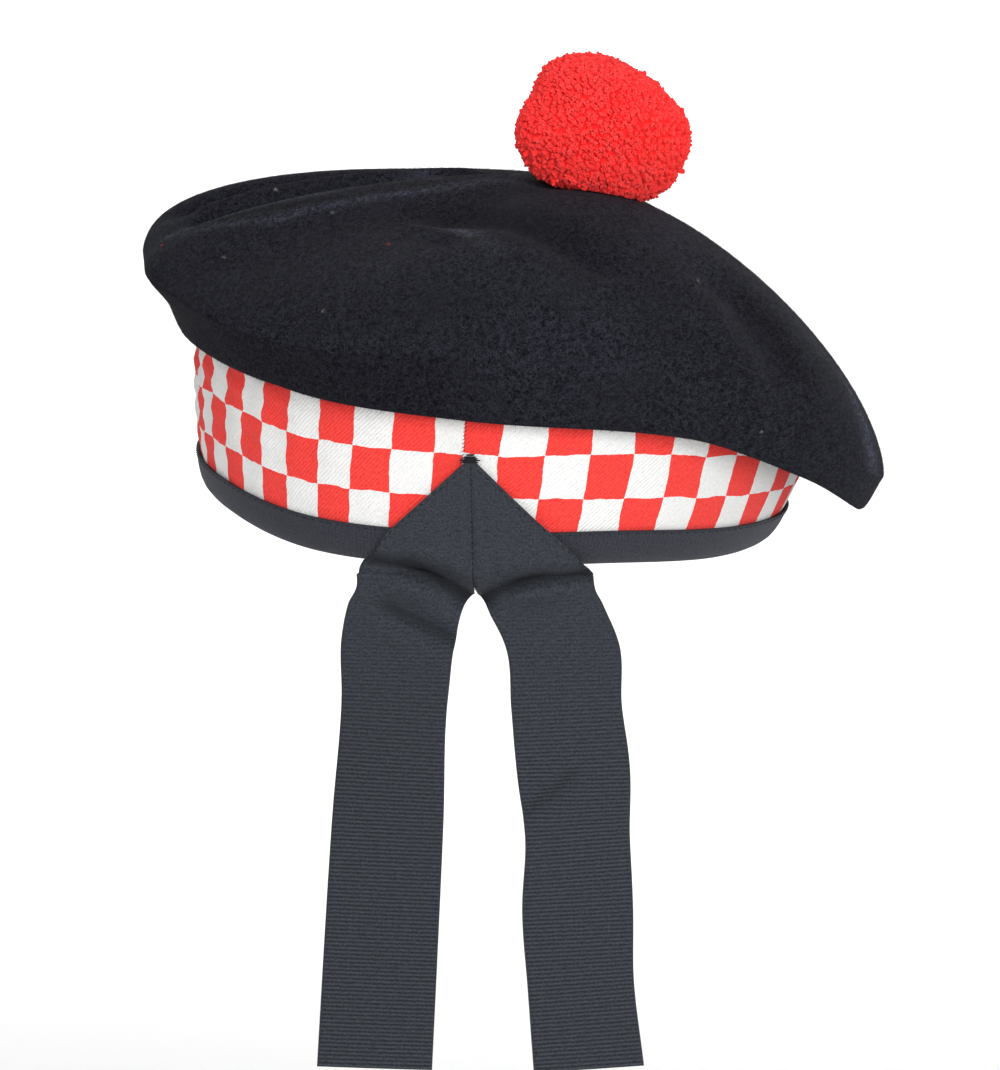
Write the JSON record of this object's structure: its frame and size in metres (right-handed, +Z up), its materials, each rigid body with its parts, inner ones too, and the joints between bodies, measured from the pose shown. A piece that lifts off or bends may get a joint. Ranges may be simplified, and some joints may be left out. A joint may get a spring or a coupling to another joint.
{
  "type": "balmoral bonnet",
  "caption": "Soft dark felt balmoral bonnet in its worn shape, with a red and white diced band, bound lower edge, ribbon tails hanging at the back and a red toorie on top.",
  "frame": {"origin": "middle of the head opening, in the plane of the bound lower edge, where a head holds the bonnet", "axes": "+Z up with the tails plumb, +Y towards the wearer's front, +X towards the wearer's right; the opening is tipped 5 degrees down at the back and 6.5 degrees down at the wearer's right"},
  "size_m": [0.1997, 0.2396, 0.2626],
  "materials": {
    "crown_felt": "matte milled wool felt, near-black navy",
    "diced_band": "woven wool strip with red and white squares in rows",
    "binding_ribbon": "ribbed ribbon, dark slate navy",
    "tail_ribbon": "ribbed ribbon, dark slate navy",
    "toorie": "clipped wool yarn, bright red"
  },
  "bodies": {
    "root": {"crown": "crown_felt", "diced_band": "diced_band", "edge_binding": "binding_ribbon", "ribbon_tail_left": "tail_ribbon", "ribbon_tail_right": "tail_ribbon", "toorie": "toorie"}
  },
  "joints": []
}
